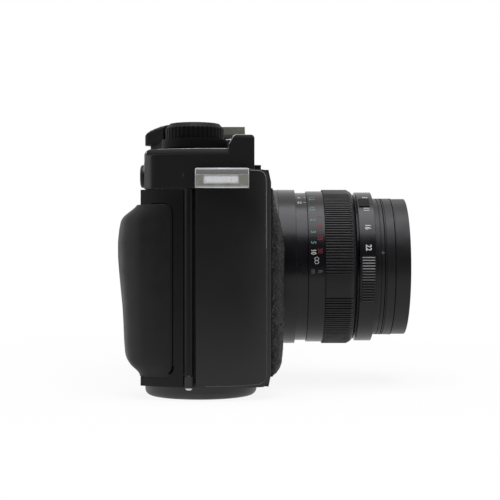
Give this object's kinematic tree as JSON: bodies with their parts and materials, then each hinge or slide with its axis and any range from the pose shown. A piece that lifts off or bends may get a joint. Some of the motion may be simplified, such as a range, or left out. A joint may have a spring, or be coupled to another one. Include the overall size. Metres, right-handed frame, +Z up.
{
  "type": "panoramic film camera",
  "caption": "Medium-format rangefinder film camera with a panoramic mask, a focusing lens, a hinged film door, winding lever, dials, buttons and removable-film chambers.",
  "frame": {"origin": "mouth of the tripod socket, on the flat underside, below the lens axis", "axes": "+Z up, -Y along the lens towards the subject, +X towards the viewer's left hand"},
  "size_m": [0.159, 0.1247, 0.1154],
  "materials": {
    "black_body_paint": "satin black lacquer on a light alloy",
    "chassis_metal": "matt black anodised casting",
    "leatherette": "pebbled black leatherette",
    "grip_rubber": "matt black rubber",
    "lens_black": "satin black anodised ring",
    "black_plastic": "satin black plastic",
    "bright_chrome": "polished",
    "steel": "bright steel",
    "optical_glass": "coated glass",
    "spool_plastic": "moulded black plastic",
    "board_green": "printed circuit board",
    "curtain_cloth": "rubberised black cloth"
  },
  "bodies": {
    "camera_body": {"body_frame": "chassis_metal", "front_cover": "black_body_paint", "front_grip": "leatherette", "front_leatherette": "leatherette", "right_end_cover": "black_body_paint", "left_end_cover": "black_body_paint", "top_cover": "black_body_paint", "bottom_cover": "black_body_paint", "strap_lug_right": "bright_chrome", "strap_lug_left": "bright_chrome", "lens_mount_ring": "bright_chrome", "hot_shoe": "steel", "viewfinder_window": "optical_glass", "rangefinder_window": "optical_glass", "illumination_window": "optical_glass", "eyepiece": "grip_rubber", "eyepiece_glass": "optical_glass", "viewfinder_block": "black_plastic", "frame_counter_window": "optical_glass", "tripod_socket": "steel", "battery": "steel", "circuit_board": "board_green", "panoramic_mask": "black_plastic", "film_guides": "steel", "cover_screws": "steel", "hinge_pin": "steel", "lens_base_ring": "lens_black", "depth_scale_ring": "lens_black", "lens_barrel": "lens_black", "front_barrel": "lens_black", "filter_ring": "lens_black"},
    "film_door": {"back_door": "black_body_paint", "thumb_rest": "grip_rubber", "memo_holder": "black_plastic", "pressure_springs": "steel"},
    "film_pressure_plate": {"pressure_plate": "chassis_metal"},
    "latch": {"door_latch": "black_plastic"},
    "take_up": {"take_up_spool": "spool_plastic", "take_up_key": "steel"},
    "supply": {"supply_spool": "spool_plastic"},
    "take_up_foot": {"take_up_stud": "steel"},
    "supply_foot": {"supply_stud": "steel"},
    "lever": {"advance_lever": "black_plastic"},
    "dial": {"shutter_dial": "black_plastic"},
    "button": {"shutter_button": "steel"},
    "button_lock": {"release_lock": "black_plastic"},
    "focus": {"distance_scale_ring": "lens_black", "focus_grip": "grip_rubber"},
    "lens_cell": {"optical_barrel": "lens_black", "shutter_blades": "steel", "aperture_blades": "steel", "front_element": "optical_glass", "rear_element": "optical_glass", "front_retaining_ring": "lens_black"},
    "aperture": {"aperture_ring": "lens_black"},
    "lens_release": {"lens_release_button": "steel"},
    "battery_cap": {"battery_cover": "black_plastic"},
    "curtain_roll": {"shield_curtain_roll": "curtain_cloth"},
    "crank": {"curtain_crank": "black_plastic"}
  },
  "joints": [
    {"name": "door_hinge", "type": "hinge", "parent": "camera_body", "child": "film_door", "pos_m": [-0.0745, 0.0038, 0.045], "axis": [0, 0, 1], "range_deg": [0, 105]},
    {"name": "pressure_plate_slide", "type": "slide", "parent": "film_door", "child": "film_pressure_plate", "axis": [0, 1, 0], "range_m": [0, 0.0008], "stiffness_N_per_m": 400, "springref_m": -0.001},
    {"name": "door_latch_slide", "type": "slide", "parent": "camera_body", "child": "latch", "axis": [0, 0, -1], "range_m": [0, 0.006], "stiffness_N_per_m": 60, "springref_m": -0.003},
    {"name": "advance_lever_turn", "type": "hinge", "parent": "camera_body", "child": "lever", "pos_m": [-0.058, 0.0022, 0.103], "axis": [0, 0, 1], "range_deg": [0, 150], "stiffness_Nm_per_rad": 0.01, "springref_deg": -17.19},
    {"name": "take_up_spin", "type": "hinge", "parent": "camera_body", "child": "take_up", "pos_m": [-0.0548, 0.0055, 0.052], "axis": [0, 0, 1], "range_deg": [0, 300]},
    {"name": "supply_spin", "type": "hinge", "parent": "camera_body", "child": "supply", "pos_m": [0.0548, 0.0055, 0.052], "axis": [0, 0, 1], "continuous": true},
    {"name": "take_up_stud_slide", "type": "slide", "parent": "camera_body", "child": "take_up_foot", "axis": [0, 0, -1], "range_m": [0, 0.0045], "stiffness_N_per_m": 200, "springref_m": -0.002},
    {"name": "supply_stud_slide", "type": "slide", "parent": "camera_body", "child": "supply_foot", "axis": [0, 0, -1], "range_m": [0, 0.0045], "stiffness_N_per_m": 200, "springref_m": -0.002},
    {"name": "shutter_dial_turn", "type": "hinge", "parent": "camera_body", "child": "dial", "pos_m": [-0.058, 0.0022, 0.108], "axis": [0, 0, 1], "range_deg": [-120, 150]},
    {"name": "shutter_button_press", "type": "slide", "parent": "camera_body", "child": "button", "axis": [0, 0, -1], "range_m": [0, 0.0016], "stiffness_N_per_m": 300, "springref_m": -0.001},
    {"name": "release_lock_turn", "type": "hinge", "parent": "camera_body", "child": "button_lock", "pos_m": [-0.0265, -0.0129, 0.107], "axis": [0, 0, 1], "range_deg": [0, 60]},
    {"name": "focus_turn", "type": "hinge", "parent": "camera_body", "child": "focus", "pos_m": [0, -0.055, 0.0526], "axis": [0, 1, 0], "range_deg": [0, 87]},
    {"name": "lens_cell_slide", "type": "slide", "parent": "camera_body", "child": "lens_cell", "axis": [0, 1, 0], "range_m": [0, 0.006]},
    {"name": "aperture_turn", "type": "hinge", "parent": "camera_body", "child": "aperture", "pos_m": [0, -0.071, 0.0526], "axis": [0, -1, 0], "range_deg": [0, 87]},
    {"name": "lens_release_press", "type": "slide", "parent": "camera_body", "child": "lens_release", "axis": [0, 1, 0], "range_m": [0, 0.002], "stiffness_N_per_m": 250, "springref_m": -0.001},
    {"name": "battery_cap_turn", "type": "hinge", "parent": "camera_body", "child": "battery_cap", "pos_m": [0.055, -0.029, 0.024], "axis": [0, 1, 0], "range_deg": [0, 60]},
    {"name": "curtain_crank_turn", "type": "hinge", "parent": "camera_body", "child": "crank", "pos_m": [0.027, 0, 0.001], "axis": [0, 0, 1], "range_deg": [0, 180]},
    {"name": "curtain_roll_turn", "type": "hinge", "parent": "camera_body", "child": "curtain_roll", "pos_m": [0, -0.015, 0.0282], "axis": [1, 0, 0], "range_deg": [0, 360]}
  ],
  "couplings": [
    {"joint": "take_up_spin", "follows": "advance_lever_turn", "ratio": 2},
    {"joint": "lens_cell_slide", "follows": "focus_turn", "m_per_rad": 0.0039514},
    {"joint": "curtain_roll_turn", "follows": "curtain_crank_turn", "ratio": 2}
  ]
}
